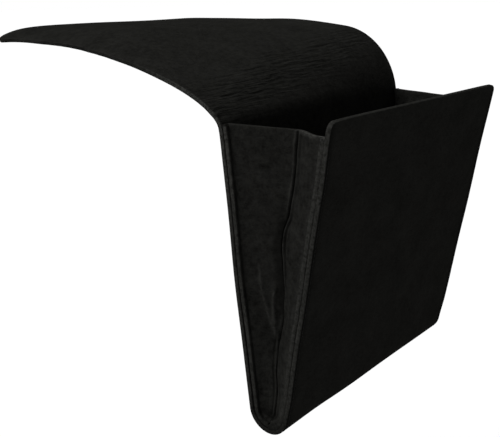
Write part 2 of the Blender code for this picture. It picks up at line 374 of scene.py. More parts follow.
def normals_of(place, along, x, probe):
    """Unit normals of a surface: the cross product of its slopes across and along."""
    down = place(along + probe, x) - place(along - probe, x)
    across = place(along, x + probe) - place(along, x - probe)
    return unit(np.cross(across, down))


def sheet_middle(size, along, x):
    """Middle of the whole sheet: the plain path moved along its normal by the swell."""
    normal = normals_of(lambda a, b: sheet_plain(size, a, b), along, x, size.felt / 50)
    return sheet_plain(size, along, x) + normal * sheet_swell(size, along, x)[..., None]


def sheet_normals(size, along, x):
    """Unit normals of the whole sheet with its swell."""
    return normals_of(lambda a, b: sheet_middle(size, a, b), along, x, size.felt / 20)


# Lightness of the cut edge: the usual one, what the bend adds, and what flap and fold take away. The bend's
# extra is painted light, and the flap's and fold's loss is painted shade.
EDGE_LEVELS = (0.64, 0.40, 0.84, 0.52)
LIGHT_BEND, DARK_FLAP, DARK_FOLD_REACH, LIGHT_WAVES = (-0.090, 0.055), (0.055, 0.050), 0.036, (0.090, 31)


def edge_lightness(size, along):
    """How light the cut edge looks, partly its loose fibres and partly painted light: most in the bend, least
    on the flap and fold.
    """
    usual, bend, flap, fold = EDGE_LEVELS
    level = usual + bend * ramp(along, *LIGHT_BEND) - flap * ramp(along, *DARK_FLAP)
    level = level - fold * bell(along, -fold_middle(size), DARK_FOLD_REACH)
    return level * (1.0 + 0.12 * waves(0.0, along, *LIGHT_WAVES))


# The crinkles' stray from their line, its longest wave and seed, and each set's wavelength and seed
CRINKLE_STRAY, STRAY_WAVES, PATCH_WAVE = 0.0014, (0.045, 71), 0.032
CRINKLE_SETS = ((0.0041, 72), (0.0054, 73), (0.0071, 74))


def bend_crinkles(size, along, x):
    """Height of the crinkles in the bend's outer face, and the zone where they lie.

    Three sets of waves with narrow tops, 1 - 2 root (sin squared + 0.03), cross the sheet a little
    aslant. Slow waves break them up. The zone is a bell round a line that climbs towards the far side.
    """
    centre = size.crinkle_centre + size.crinkle_climb * x
    zone = bell(along, centre, size.crinkle_reach)
    run = along + size.crinkle_slant * x + CRINKLE_STRAY * waves(x, along, *STRAY_WAVES)
    height = np.zeros(run.shape)
    for wavelength, seed in CRINKLE_SETS:
        patch = np.clip(0.55 + 0.6 * waves(x * 0.6, along, PATCH_WAVE, seed), 0.1, 1.0)
        height = height + patch * (1.0 - 2.0 * np.sqrt(np.sin(math.pi * run / wavelength) ** 2 + 0.03))
    return size.crinkle_height * zone * height * 0.6, zone


# Meshes


def spaced(start, end, pitch):
    """Evenly spaced numbers from start to end, about a pitch apart."""
    return np.linspace(start, end, max(2, int(round(abs(end - start) / pitch)) + 1))


def edge_insets(size):
    """Distances from a cut edge that follow its rounding: r (1 - cos a) for a from 0 to 90 degrees."""
    return size.edge_round * (1.0 - np.cos(np.linspace(0.0, math.pi / 2, 4)))


def edge_profile(size, inset, sharp):
    """Half thickness at a distance from the cut edge: a quarter circle that runs out flat.

    sharp makes the circle smaller, from 0 for the full rounding to 1 for none.
    """
    radius = size.edge_round * (1.0 - sharp)
    short = np.clip(radius - inset, 0.0, radius)
    return size.felt / 2 - radius + np.sqrt(np.maximum(radius * radius - short * short, 0.0))


def cross_shares(size, seam):
    """Places across the width from -1 to 1, close together at the cut edges and the seam."""
    half = size.width / 2
    near = [edge_insets(size)]
    near.append(seam.inset + seam.dimple_width * np.array([-1.5, -0.9, -0.45, 0.0, 0.45, 0.9, 1.6]))
    start = seam.inset + seam.dimple_width * 3.0
    inside = spaced(start, half, size.pitch)
    insets = np.concatenate(near + [inside])
    right = 1.0 - insets / half
    return np.concatenate([-right, right[-2::-1]])


def border_distance(half, corner, end_distance, x):
    """Distance to the outline of a strip with one rounded end."""
    side = half - np.abs(x)
    over_x = np.maximum(corner - side, 0.0)
    over_end = np.maximum(corner - end_distance, 0.0)
    in_corner = corner - np.hypot(over_x, over_end)
    both = (over_x > 0.0) & (over_end > 0.0)
    return np.maximum(np.where(both, in_corner, np.minimum(side, end_distance)), 0.0)


def put_mesh(name, points, faces, attributes):
    """Make an object from whole arrays, turned so that its faces point outwards."""
    first, second, third = points[faces[:, 0]], points[faces[:, 1]], points[faces[:, 2]]
    fourth = points[faces[:, 3]]
    volume = (first * np.cross(second, third)).sum() + (first * np.cross(third, fourth)).sum()
    if volume < 0.0:
        faces = faces[:, ::-1]
    mesh = bpy.data.meshes.new(name)
    mesh.from_pydata(points.tolist(), [], faces.tolist())
    for label, kind, field, values in attributes:
        attribute = mesh.attributes.new(label, kind, "POINT")
        attribute.data.foreach_set(field, values.astype(np.float32).ravel())
    mesh.shade_smooth()
    mesh.set_sharp_from_angle(angle=math.radians(50.0))
    mesh.update()
    piece = bpy.data.objects.new(name, mesh)
    bpy.context.scene.collection.objects.link(piece)
    return piece


def put_felt(name, middle, normal, half_in, half_out, flat, marks):
    """A closed sheet of felt round a grid of middle points.

    The two skins lie half a thickness to each side along the normal, and a band joins them all
    round. flat holds the place (across, along) on the uncut felt, and marks the named masks.
    """
    rows, columns = middle.shape[:2]
    count = rows * columns
    inner = middle + normal * half_in[..., None]
    outer = middle - normal * half_out[..., None]
    points = np.concatenate([inner.reshape(-1, 3), outer.reshape(-1, 3)])
    index = np.arange(count).reshape(rows, columns)
    corners = [index[:-1, :-1], index[:-1, 1:], index[1:, 1:], index[1:, :-1]]
    quads = np.stack(corners, axis=-1).reshape(-1, 4)
    border = np.concatenate([index[0, :-1], index[:-1, -1], index[-1, :0:-1], index[:0:-1, 0]])
    following = np.roll(border, -1)
    band = np.stack([border, border + count, following + count, following], axis=-1)
    faces = np.concatenate([quads, quads[:, ::-1] + count, band])
    across, along = flat[..., 0].ravel(), flat[..., 1].ravel()
    upper = np.stack([across, along, half_in.ravel()], axis=-1)
    lower = np.stack([across, along, -half_out.ravel()], axis=-1)
    attributes = [("flat_place", "FLOAT_VECTOR", "vector", np.concatenate([upper, lower]))]
    for label, values in marks:
        attributes.append((label, "FLOAT", "value", np.tile(values.ravel(), 2)))
    return put_mesh(name, points, faces, attributes)


def corner_rows(end, radius, toward, pitch):
    """Rows over a rounded end: distances along and how far each row is tucked in."""
    steps = max(8, int(round(radius * math.pi / 2 / pitch)) * 3)
    angle = np.linspace(0.0, math.pi / 2, steps + 1)
    return end - toward * radius * (1.0 - np.sin(angle)), radius * (1.0 - np.cos(angle))


# Widths of the tufted band at a cut edge, and how much narrower and sharper it is on the front
EDGE_BAND, FRONT_BAND_LESS, FRONT_SHARPNESS = 0.0011, 0.0006, 0.75
# The last pair places a painted shadow line beside the front's side edges: its distance in from the edge and
# its width.
CUT_WAVES, POCKET_TOP, SIDE_SHADOW = (0.030, 5), (0.004, -0.003), (0.0017, 0.0011)
# The last is how far along the felt the painted shade on the cut edge round the bottom fold reaches.
CRINKLE_INSET, TOP_BAND, TOP_CORNER, FOLD_SHADE_REACH = 0.003, 0.003, 0.006, 0.030


def put_sheet(name, size, seam, along, tuck, end, corner):
    """One stretch of the sheet, from rows along the felt and their tucks at the rounded end."""
    half = size.width / 2
    shares = cross_shares(size, seam)
    wander = size.cut_wander * waves(0.0, along, *CUT_WAVES)
    reach = (half - tuck + wander * np.minimum(1.0, (half - tuck) / half))[:, None]
    x = shares[None, :] * reach
    rows = np.repeat(along[:, None], len(shares), axis=1)
    inset = np.minimum(border_distance(half, corner, np.abs(end - rows), x), half)
    inset = np.where(np.abs(shares)[None, :] > 1.0 - 1e-9, 0.0, inset)
    side = half - np.abs(x)
    on_front = ramp(-rows, fold_middle(size), size.flare_width)
    on_pocket = ramp(rows, *POCKET_TOP)
    half_felt = edge_profile(size, inset, FRONT_SHARPNESS * on_front)
    seam_inset = (side - seam.inset) / seam.dimple_width
    half_out = half_felt - seam.dimple * bell(seam_inset) * on_pocket
    crinkle, zone = bend_crinkles(size, rows, x)
    half_in = half_felt + crinkle * ramp(inset, 0.0, CRINKLE_INSET)
    # The cut edge's lightness is partly painted light. It is taken down along the front's top edge, away from
    # its corners.
    front_top = on_front * bell(end - rows, 0.0, TOP_BAND) * ramp(side, TOP_CORNER, TOP_CORNER)
    light = edge_lightness(size, rows) * (1.0 - 0.6 * front_top)
    # Darker along the seam line, and wider on the front.
    seam_darkening = 0.6 * bell(seam_inset / (1.5 + on_front)) * on_pocket
    # Painted shadow: a dark line just inside the front's side edges.
    side_shadow_line = 0.9 * bell(side, *SIDE_SHADOW) * on_front
    # Painted shade: the cut edge is darker round the bottom fold.
    fold_edge_shade = 0.4 * bell(rows, -fold_middle(size), FOLD_SHADE_REACH) * bell(inset, 0.0, EDGE_BAND)
    marks = [
        ("cut_edge", bell(inset / (EDGE_BAND - FRONT_BAND_LESS * on_front)) * light),
        ("crinkle", zone),
        ("pressed", np.maximum(seam_darkening, side_shadow_line) + fold_edge_shade),
        ("mottle", 1.0 - 0.55 * on_front),
    ]
    middle, normal = sheet_middle(size, rows, x), sheet_normals(size, rows, x)
    return put_felt(name, middle, normal, half_in, half_out, np.stack([x, rows], axis=-1), marks)


def gusset_rows(size, gusset):
    """How far down the sheet each row's back end and front end lie.

    Both ends run down the straight panels together, then round the fold towards each other.
    """
    travel = fold_length(size) / 2 - size.fold_radius * gusset.foot_turn
    top = edge_insets(size)
    straight = np.concatenate([top[:-1], spaced(top[-1], size.back_length, size.pitch)])
    level = straight / size.back_length
    foot = spaced(0.0, travel, size.pitch / 2)[1:]
    foot = np.concatenate([foot[:-1], travel - top[::-1]])
    back_top = -gusset.back_rise
    front_top = pocket_length(size) - gusset.top_drop
    fold_end = front_foot(size)
    backs = np.concatenate([back_top + (size.back_length - back_top) * level, size.back_length + foot])
    fronts = np.concatenate([front_top + (fold_end - front_top) * level, fold_end - foot])
    return backs, fronts


CREASE_LINE = (
    (0.00, 0.670), (0.12, 0.658), (0.23, 0.628), (0.29, 0.600), (0.34, 0.530), (0.39, 0.512),
    (0.45, 0.540), (0.55, 0.588), (0.66, 0.600), (0.71, 0.545), (0.755, 0.485), (0.82, 0.465),
    (0.90, 0.525), (0.95, 0.590), (1.00, 0.610),
)
PUCKERS = (
    ((0.46, 0.20), (0.55, 0.24), (0.62, 0.30), (0.73, 0.46)),
    ((0.52, 0.45), (0.58, 0.42), (0.62, 0.41), (0.66, 0.43), (0.72, 0.46)),
)


def wandering(table, level):
    """Share across at a level, from a table of (level, share) pairs smoothed by a running mean."""
    levels, shares = np.array(table).T
    fine = np.linspace(-0.3, 1.5, 361)
    weight = np.hanning(15)
    line = np.convolve(np.interp(fine, levels, shares), weight / weight.sum(), "same")
    return np.interp(level, fine, line)


# Longest wave of the leaves
LEAF_WAVE = 0.055


def leaf_profile(size, gusset, level, span, crease, across, seed):
    """How far the web lies in from the strips, for places across it from 0 to 1.

    The back leaf leans in evenly to the crease; the front leaf runs level and then turns out
    to the front. Both fade out above the foot.
    """
    fade = crease_fade(size, gusset, level)
    before = across / crease
    after = np.clip((1.0 - across) / (1.0 - crease), 0.0, 1.0)
    lean = np.where(across < crease, before + 0.06 * np.sin(math.pi * before), ramp(after**1.3))
    depth = gusset.leaf_depth * fade * lean + gusset.nose * (1.0 - fade) * np.minimum(1.0, lean * 2.0)
    hold = np.sin(math.pi * np.clip(across, 0.0, 1.0))
    return depth + gusset.wave_depth * hold * waves(across * span, level * size.back_length, LEAF_WAVE, seed)


def crease_fade(size, gusset, level):
    """1 along the crease and down to 0 at the foot, as a quarter of a sine wave."""
    left = np.maximum(1.0 - level, 0.0) * size.back_length
    return np.sin(np.minimum(left / gusset.fade_length, 1.0) * math.pi / 2)


# Start and width of the crease's changes, as levels from 0 at the web's top to 1 at its foot
CREASE_ENDS, CREASE_WEAKENS, MERGE, LOW = (1.05, -0.04), (0.40, 0.30), (0.46, 0.12), (0.70, 0.06)
MIDDLE_START, MIDDLE_END, PUCKER_START, PUCKER_END = (0.24, 0.08), (0.68, -0.10), 0.06, (0.02, -0.04)
# Start and width of the dip's two sides and the front leaf, in metres from the crease; both are also darkened
# with painted shade
DIP_START, DIP_END, FRONT_LEAF = (-0.0095, 0.0080), (0.0008, -0.0012), (0.0, 0.004)
CREASE_WAVE = 0.030


def gusset_relief(size, gusset, level, span, crease, across, seed):
    """Height of the web's outer face over its smooth form, and a mask of painted shade on it.

    The crease is a narrow groove between two low ridges, with a fainter groove in front of it
    halfway down and one behind it low down. The back leaf dips before the crease. Two puckers
    low on the back leaf run together into the crease.
    """
    off = (across - crease) * span
    strength = ramp(level, *CREASE_ENDS) * (1.0 - 0.45 * ramp(level, *CREASE_WEAKENS))
    strength = strength * (0.82 + 0.18 * waves(0.0 * off, level * size.back_length, CREASE_WAVE, seed + 1))
    middle_part = ramp(level, *MIDDLE_START) * ramp(level, *MIDDLE_END)
    merge, low = ramp(level, *MERGE), ramp(level, *LOW)
    width, reach = gusset.ridge_width, gusset.ridge_reach
    groove = bell(off, 0.0, gusset.groove_width)
    second = bell(off, gusset.second_reach * (1.0 - 0.5 * merge), width) * (1.0 - merge)
    second = second * (0.5 + 0.5 * middle_part) + 1.3 * low * bell(off, -gusset.low_reach, 0.7 * width)
    left = bell(off, -(1.0 - 0.2 * low) * reach, width) * (1.0 - 0.9 * middle_part)
    right = bell(off, (1.0 + 0.3 * middle_part * (1.0 - merge)) * reach, width)
    ridges = (1.0 + 0.6 * low) * left + (0.7 + 0.4 * middle_part) * right
    height = strength * (gusset.ridge_height * ridges - gusset.groove_depth * (groove + 0.7 * second))
    dip = ramp(off, *DIP_START) * ramp(off, *DIP_END) * (middle_part + 0.15 * low)
    height = height - gusset.dip_depth * dip
    for table in PUCKERS:
        line = wandering(table, level)
        first, last = table[0][0], table[-1][0]
        shown = ramp(level, first, PUCKER_START) * ramp(level, last + PUCKER_END[0], PUCKER_END[1])
        height = height + gusset.pucker_height * shown * bell((across - line) * span / gusset.pucker_width)
    # Painted shade: darkens the crease's grooves, the dip before the crease and the whole front leaf.
    pressed = strength * (groove + 0.8 * second) + 0.80 * dip + 0.13 * ramp(off, *FRONT_LEAF)
    return height, np.clip(pressed, 0.0, 1.0)


# Start and width of the levels where the gaps behind the strips open and close
BACK_OPENS, FRONT_OPENS, FRONT_CLOSES = (0.45, 0.30), (0.15, 0.30), (1.0, -0.25)
WEB_COLUMNS = 129


def gusset_middle(size, gusset, side, seed):
    """Grid of a gusset's middle surface, its flat places, the relief of its face, and a mask of painted shade
    on it.

    A row runs from the back edge over the back strip, round a quarter turn to the web, over the
    two leaves and out to the front strip. The strips lie on the sheet's inner face.
    """
    backs, fronts = gusset_rows(size, gusset)
    level = (backs + gusset.back_rise) / (size.back_length + gusset.back_rise)
    half = size.width / 2
    seats, normals = [], []
    open_back = 0.25 + 0.75 * ramp(level, *BACK_OPENS)
    open_front = 0.25 + 0.40 * ramp(level, *FRONT_OPENS) * ramp(level, *FRONT_CLOSES)
    for distance, opened in ((backs, open_back), (fronts, open_front)):
        y, z, normal_y, normal_z = pocket_line(size, distance)
        gap = gusset.join_gap * opened
        lift = size.felt + gap + sheet_swell(size, -distance, np.full(len(distance), side * half))
        seats.append(np.stack([y + normal_y * lift, z + normal_z * lift], axis=-1)[:, None, :])
        normals.append(np.stack([normal_y, normal_z], axis=-1)[:, None, :])
    crease = wandering(CREASE_LINE, level)[:, None]
    steps = np.linspace(-1.0, 1.0, WEB_COLUMNS)[None, :]
    spread = np.sign(steps) * np.abs(steps)**1.5
    across = crease + np.where(spread < 0.0, crease, 1.0 - crease) * spread
    web_ends = [seat + normal * gusset.web_turn for seat, normal in zip(seats, normals)]
    span = np.linalg.norm(web_ends[1] - web_ends[0], axis=-1)
    place = (size, gusset, level[:, None], span, crease, across, seed)
    depth = leaf_profile(*place)
    web = web_ends[0] + (web_ends[1] - web_ends[0]) * across[..., None]
    strip = np.concatenate([edge_insets(size)[:-1], spaced(size.edge_round, gusset.strip, 0.0008)])
    angle = np.linspace(0.0, math.pi / 2, 9)[1:-1]
    insets = np.concatenate([strip, gusset.strip + gusset.web_turn * np.sin(angle)])
    rise = np.concatenate([0.0 * strip, gusset.web_turn * (1.0 - np.cos(angle))])[None, :, None]
    flat_strip = np.repeat(insets[None, :], len(level), axis=0)
    inset = np.concatenate([flat_strip, gusset.strip + gusset.web_turn + depth, flat_strip[:, ::-1]], axis=1)
    back_strip = seats[0] + normals[0] * rise
    front_strip = seats[1] + normals[1] * rise[:, ::-1]
    place_yz = np.concatenate([back_strip, web, front_strip], axis=1)
    count = inset.shape[1]
    to_front = ramp(np.arange(count) / count, 0.2, 0.6)[None, :]
    step = gusset.back_step + (gusset.front_step - gusset.back_step) * to_front
    grid = np.concatenate([side * (half - step - inset)[..., None], place_yz], axis=-1)
    height, pressed = gusset_relief(*place)
    empty = np.zeros(flat_strip.shape)
    relief = np.concatenate([empty, height, empty], axis=1)
    pressed = np.concatenate([empty, pressed, empty], axis=1)
    strides = np.linalg.norm(np.diff(grid, axis=1), axis=-1)
    run = np.concatenate([np.zeros((len(level), 1)), np.cumsum(strides, axis=1)], axis=1)
    run = run - run[:, -1:] / 2
    fall = np.repeat(backs[:, None], grid.shape[1], axis=1)
    return grid, np.stack([run, fall + side], axis=-1), relief, pressed


def gusset_cut(size, gusset, side, seed):
    """Flat size and area of a gusset's felt: its widest row, its length, and the rows' widths summed."""
    flat = gusset_middle(size, gusset, side, seed)[1]
    widths = flat[:, -1, 0] - flat[:, 0, 0]
    fall = flat[:, 0, 1]
    area = ((widths[1:] + widths[:-1]) / 2 * np.diff(fall)).sum()
    return (float(widths.max()), float(fall[-1] - fall[0])), float(area)


# Bands of a gusset's felt: top and foot edges, the front leaf's turn, the low streaks and the foot. The top
# edge and the turn get painted highlights, and the foot painted shade.
END_BAND, TOP_HIGHLIGHT, TURN_HIGHLIGHT = 0.002, (0.60, 0.10), (0.0078, 0.0022)
LOW_WEB, FOOT_SHADE = (0.88, 0.11), (0.98, 0.06)
STREAK_WAVE, FOOT_WAVE, RELIEF_FADE = 0.007, 0.009, 0.004


def put_gusset(name, size, gusset, side, seed):
    """A gusset as a closed sheet of felt; side is -1 on the near side and 1 on the far side."""
    middle, flat, relief, pressed = gusset_middle(size, gusset, side, seed)
    normal = unit(np.cross(np.gradient(middle, axis=1), np.gradient(middle, axis=0)))
    run, fall = flat[..., 0], flat[..., 1]
    from_back, from_front = run - run[:, :1], run[:, -1:] - run
    from_top, from_foot = fall - fall[:1], fall[-1:] - fall
    ends = np.minimum(from_top, from_foot)
    inset = np.minimum(np.minimum(from_back, from_front), ends)
    on_front = run > 0.0
    half_felt = edge_profile(size, inset, np.where(on_front, FRONT_SHARPNESS, 0.0))
    backs, fronts = gusset_rows(size, gusset)
    light = np.where(on_front, edge_lightness(size, -fronts)[:, None], edge_lightness(size, -backs)[:, None])
    # Painted highlight: the top cut edge is lit towards the front and dark towards the back.
    top_edge_highlight = 0.10 + 1.10 * ramp(from_back / (run[:, -1:] - run[:, :1]), *TOP_HIGHLIGHT)
    light = np.where(from_top < END_BAND, top_edge_highlight, light)
    # Painted shade: the cut edge at the gusset's foot is kept dark.
    light = np.where(from_foot < END_BAND, 0.05, light)
    # Painted highlight along the front leaf's turn out to the front strip.
    turn_highlight = 0.28 * bell(from_front, *TURN_HIGHLIGHT)
    level = from_top / (size.back_length + gusset.back_rise)
    streaks = 0.5 + 0.5 * waves(run, fall * 0.15, STREAK_WAVE, seed + 3)
    # Painted highlight on the ridges of the web's relief, and lighter streaks low on the web.
    ridge_highlight_and_streaks = 0.42 * np.clip(relief / gusset.ridge_height, 0.0, 1.0) + 0.12 * streaks * bell(level, *LOW_WEB)
    # Painted shade: the web's foot darkens in blotches towards the bottom fold.
    foot = ramp(level, *FOOT_SHADE) * (0.45 + 0.30 * waves(run, fall, FOOT_WAVE, seed + 2))
    shown, hidden = half_felt + relief * ramp(ends / RELIEF_FADE + 0.3), half_felt
    half_in, half_out = (hidden, shown) if side < 0.0 else (shown, hidden)
    marks = [
        ("cut_edge", np.maximum(bell(inset, 0.0, EDGE_BAND) * light, np.maximum(ridge_highlight_and_streaks, turn_highlight))),
        ("crinkle", np.zeros_like(inset)),
        ("pressed", np.clip(pressed + foot, 0.0, 1.0)),
        ("mottle", np.full(inset.shape, 1.6)),
    ]
    return put_felt(name, middle, normal, half_in, half_out, flat, marks)


def put_seam(name, size, seam, gusset, side):
    """All stitches of one side seam as one mesh of short round threads.

    Each stitch is a tube along the seam line. Its middle lies at -sink + lift (1 - t^4) above
    the felt's outer face and its radius is r (1 - t^8), for t from -1 to 1 along the stitch.
    """
    start = -gusset.back_rise + seam.pitch
    end = pocket_length(size) - gusset.top_drop - seam.pitch
    count = int((end - start) / seam.pitch)
    centre = start + seam.pitch * (np.arange(count) + 0.5)
    step = np.linspace(-1.0, 1.0, 9)
    angle = np.linspace(0.0, 2.0 * math.pi, 8, endpoint=False)
    distance = centre[:, None] + step[None, :] * seam.stitch / 2
    x = np.full_like(distance, side * (size.width / 2 - seam.inset))
    along = -distance
    middle = sheet_middle(size, along, x)
    normal = sheet_normals(size, along, x)
    radius = seam.thread / 2 * (1.0 - 0.75 * step**8)
    height = seam.thread * 0.55 * (1.0 - step**4) - seam.sink
    face = size.felt / 2 - seam.dimple
    ring_out = face + height[None, :, None] + radius[None, :, None] * np.cos(angle)[None, None, :]
    ring_x = radius[None, :, None] * np.sin(angle)[None, None, :] * np.ones((count, 1, 1))
    points = middle[:, :, None, :] - normal[:, :, None, :] * ring_out[..., None]
    points = points + np.array([1.0, 0.0, 0.0]) * ring_x[..., None]
    rings, sides = len(step), len(angle)
    index = np.arange(count * rings * sides).reshape(count, rings, sides)
    turned = np.roll(index, -1, axis=2)
    walls = np.stack([index[:, :-1], turned[:, :-1], turned[:, 1:], index[:, 1:]], axis=-1)
    caps = []
    for ring, order in ((0, [0, 3, 2, 1]), (rings - 1, [0, 1, 2, 3])):
        loop = index[:, ring]
        for corners in ([0, 1, 2, 3], [0, 3, 4, 7], [4, 5, 6, 7]):
            caps.append(loop[:, corners][:, order])
    faces = np.concatenate([walls.reshape(-1, 4), *caps])
    around = np.broadcast_to(angle[None, None, :], (count, rings, sides))
    run = np.broadcast_to(distance[:, :, None], (count, rings, sides))
    twist = np.stack([run, around, np.zeros_like(around)], axis=-1).reshape(-1, 3)
    return put_mesh(name, points.reshape(-1, 3), faces, [("twist", "FLOAT_VECTOR", "vector", twist)])


# Finishes


def add_node(tree, kind, **settings):
    """Add a node and set its plain settings."""
    node = tree.nodes.new(kind)
    for key, value in settings.items():
        setattr(node, key, value)
    return node


def set_socket(tree, socket, value):
    """Link a node's socket into another, or give it a plain value."""
    if isinstance(value, bpy.types.NodeSocket):
        tree.links.new(value, socket)
    else:
        socket.default_value = value


def feed(tree, node, **values):
    """Set inputs by name, an underscore for a space."""
    for key, value in values.items():
        set_socket(tree, node.inputs[key.replace("_", " ")], value)
    return node


def maths(tree, operation, first, second=0.0, third=0.0, clamp=False):
    """A Math node on up to three numbers or sockets."""
    node = add_node(tree, "ShaderNodeMath", operation=operation, use_clamp=clamp)
    for socket, value in zip(node.inputs, (first, second, third)):
        set_socket(tree, socket, value)
    return node.outputs[0]


def scaled(tree, value, factor, offset, clamp=False):
    """The value times a factor plus an offset."""
    return maths(tree, "MULTIPLY_ADD", value, factor, offset, clamp)


def noise(tree, place, scale, detail, roughness=0.5):
    """Soft noise from 0 to 1 at a scale per metre."""
    node = add_node(tree, "ShaderNodeTexNoise")
    feed(tree, node, Vector=place, Scale=scale, Detail=detail, Roughness=roughness)
    return node.outputs["Fac"]


def turned(tree, place, degrees, stretch):
    """The place turned about the felt's normal and scaled by a different number each way."""
    node = add_node(tree, "ShaderNodeMapping", vector_type="POINT")
    feed(tree, node, Vector=place, Rotation=(0.0, 0.0, math.radians(degrees)), Scale=stretch)
    return node.outputs["Vector"]


def new_group(name, inputs, outputs):
    """An empty node group with named sockets: Place is a vector, and the others are numbers."""
    group = bpy.data.node_groups.new(name, "ShaderNodeTree")
    for side, labels in (("INPUT", inputs), ("OUTPUT", outputs)):
        for label in labels:
            kind = "NodeSocketVector" if label == "Place" else "NodeSocketFloat"
            group.interface.new_socket(name=label, in_out=side, socket_type=kind)
    return group, add_node(group, "NodeGroupInput"), add_node(group, "NodeGroupOutput")


def fibre_group(name):
    """Matted fibres: thin crossing strands over fine grain, mottling and slow clouds.

    A strand is a level line of stretched noise, 1 - k |2 n - 1|, laid in four directions.
    """
    group, given, result = new_group(name, ("Place", "Mottle"), ("Shade", "Height"))
    place = given.outputs["Place"]
    strands = None
    for degrees in (8.0, 52.0, 97.0, 141.0):
        lane = turned(group, place, degrees, (150.0, 620.0, 500.0))
        field = scaled(group, noise(group, lane, 1.0, 2.0), 2.0, -1.0)
        line = scaled(group, maths(group, "ABSOLUTE", field), -7.0, 1.0, clamp=True)
        strands = line if strands is None else maths(group, "MAXIMUM", strands, line)
    grain = noise(group, place, 1500.0, 2.0, 0.6)
    mottle = noise(group, place, 240.0, 3.0, 0.6)
    cloud = noise(group, place, 34.0, 2.0)
    shade = scaled(group, strands, 0.22, 0.155)
    shade = scaled(group, maths(group, "SUBTRACT", grain, 0.5), 0.60, shade)
    spots = maths(group, "MULTIPLY", maths(group, "SUBTRACT", mottle, 0.5), given.outputs["Mottle"])
    shade = maths(group, "ADD", shade, spots)
    shade = scaled(group, cloud, 0.50, shade, clamp=True)
    height = scaled(group, strands, 0.45, maths(group, "MULTIPLY", grain, 0.35))
    height = scaled(group, mottle, 0.90, height)
    group.links.new(shade, result.inputs["Shade"])
    group.links.new(height, result.inputs["Height"])
    return group


def tufted_mask_group(name):
    """Loose fibres at a cut edge and painted highlights: their mask broken up by short tufts of noise."""
    group, given, result = new_group(name, ("Place", "Edge"), ("Mask",))
    tufts = noise(group, given.outputs["Place"], 400.0, 3.0, 0.65)
    lifted = scaled(group, tufts, 2.6, -0.80)
    mask = maths(group, "MULTIPLY", given.outputs["Edge"], lifted, clamp=True)
    group.links.new(mask, result.inputs["Mask"])
    return group


def use_group(tree, name, build, **values):
    """Place a node group in a material, build it at its first use, and feed its inputs."""
    node = add_node(tree, "ShaderNodeGroup")
    node.node_tree = bpy.data.node_groups.get(name) or build(name)
    return feed(tree, node, **values)


def attribute(tree, label, output="Fac"):
    """A stored mask or place of the piece's own mesh."""
    node = add_node(tree, "ShaderNodeAttribute", attribute_type="GEOMETRY", attribute_name=label)
    return node.outputs[output]


def mix_colour(tree, factor, first, second):
    """Blend two colours."""
    node = add_node(tree, "ShaderNodeMix", data_type="RGBA")
    set_socket(tree, node.inputs["Factor"], factor)
    for socket, value in ((node.inputs[6], first), (node.inputs[7], second)):
        set_socket(tree, socket, value if isinstance(value, bpy.types.NodeSocket) else (*value, 1.0))
    return node.outputs[2]


def new_material(name):
    """A material with its node tree and its shader."""
    material = bpy.data.materials.new(name)
    material.use_nodes = True
    return material, material.node_tree, material.node_tree.nodes["Principled BSDF"]


# Strength of the bump, and the height in metres that its white stands for
FELT_BUMP, THREAD_BUMP = (0.55, 0.0006), (0.4, 0.0001)
THREAD_GLOSS = 0.05


def dress(tree, shader, colour, roughness, height, bump_sizes, gloss):
    """Feed a shader its colour, roughness and bump, and set its gloss."""
    strength, distance = bump_sizes
    bump = feed(tree, add_node(tree, "ShaderNodeBump"), Strength=strength, Distance=distance, Height=height)
    feed(tree, shader, Base_Color=colour, Roughness=roughness, Normal=bump.outputs["Normal"])
    shader.inputs["Specular IOR Level"].default_value = gloss


def felt_finish(name, colours, crinkled):
    """Dark matted felt with lighter, tufted cut edges and painted highlights, darkened by press and painted
    shade, and crinkles where the sheet bends.
    """
    material, tree, shader = new_material(name)
    place = attribute(tree, "flat_place", "Vector")
    fibres = use_group(tree, "matted_fibres", fibre_group, Place=place, Mottle=attribute(tree, "mottle"))
    tufts = use_group(tree, "edge_and_highlight_tufts", tufted_mask_group, Place=place, Edge=attribute(tree, "cut_edge"))
    # The mask of press and painted shade darkens the felt towards its dark fibres.
    unshaded_share = scaled(tree, attribute(tree, "pressed"), -0.85, 1.0, clamp=True)
    shade = maths(tree, "MULTIPLY", fibres.outputs["Shade"], unshaded_share)
    face = mix_colour(tree, shade, colours.felt_dark, colours.felt_light)
    # The lighter colour paints the cut edges' loose fibres and the painted highlights.
    colour = mix_colour(tree, tufts.outputs["Mask"], face, colours.edge_and_highlight)
    height = scaled(tree, tufts.outputs["Mask"], 0.8, fibres.outputs["Height"])
    if crinkled:
        lane = turned(tree, place, 6.0, (16.0, 230.0, 1.0))
        field = scaled(tree, noise(tree, lane, 1.0, 2.0, 0.55), 2.0, -1.0)
        line = maths(tree, "SUBTRACT", 1.0, maths(tree, "ABSOLUTE", field))
        line = maths(tree, "MULTIPLY", maths(tree, "POWER", line, 3.0), attribute(tree, "crinkle"))
        height = scaled(tree, line, 2.6, height)
    roughness = scaled(tree, fibres.outputs["Shade"], 0.10, 0.88)
    dress(tree, shader, colour, roughness, height, FELT_BUMP, 0.0)
    return material


def thread_finish(colours):
    """Dark two-ply thread: slanted plies as a sine of the place along and around it."""
    material, tree, shader = new_material("seam_thread")
    parts = add_node(tree, "ShaderNodeSeparateXYZ")
    feed(tree, parts, Vector=attribute(tree, "twist", "Vector"))
    phase = scaled(tree, parts.outputs["X"], 7400.0, parts.outputs["Y"])
    wave = maths(tree, "SINE", maths(tree, "MULTIPLY", phase, 2.0))
    ply = scaled(tree, wave, 0.5, 0.5, clamp=True)
    colour = mix_colour(tree, ply, colours.thread_dark, colours.thread_light)
    roughness = scaled(tree, ply, -0.15, 0.70)
    dress(tree, shader, colour, roughness, ply, THREAD_BUMP, THREAD_GLOSS)
    return material


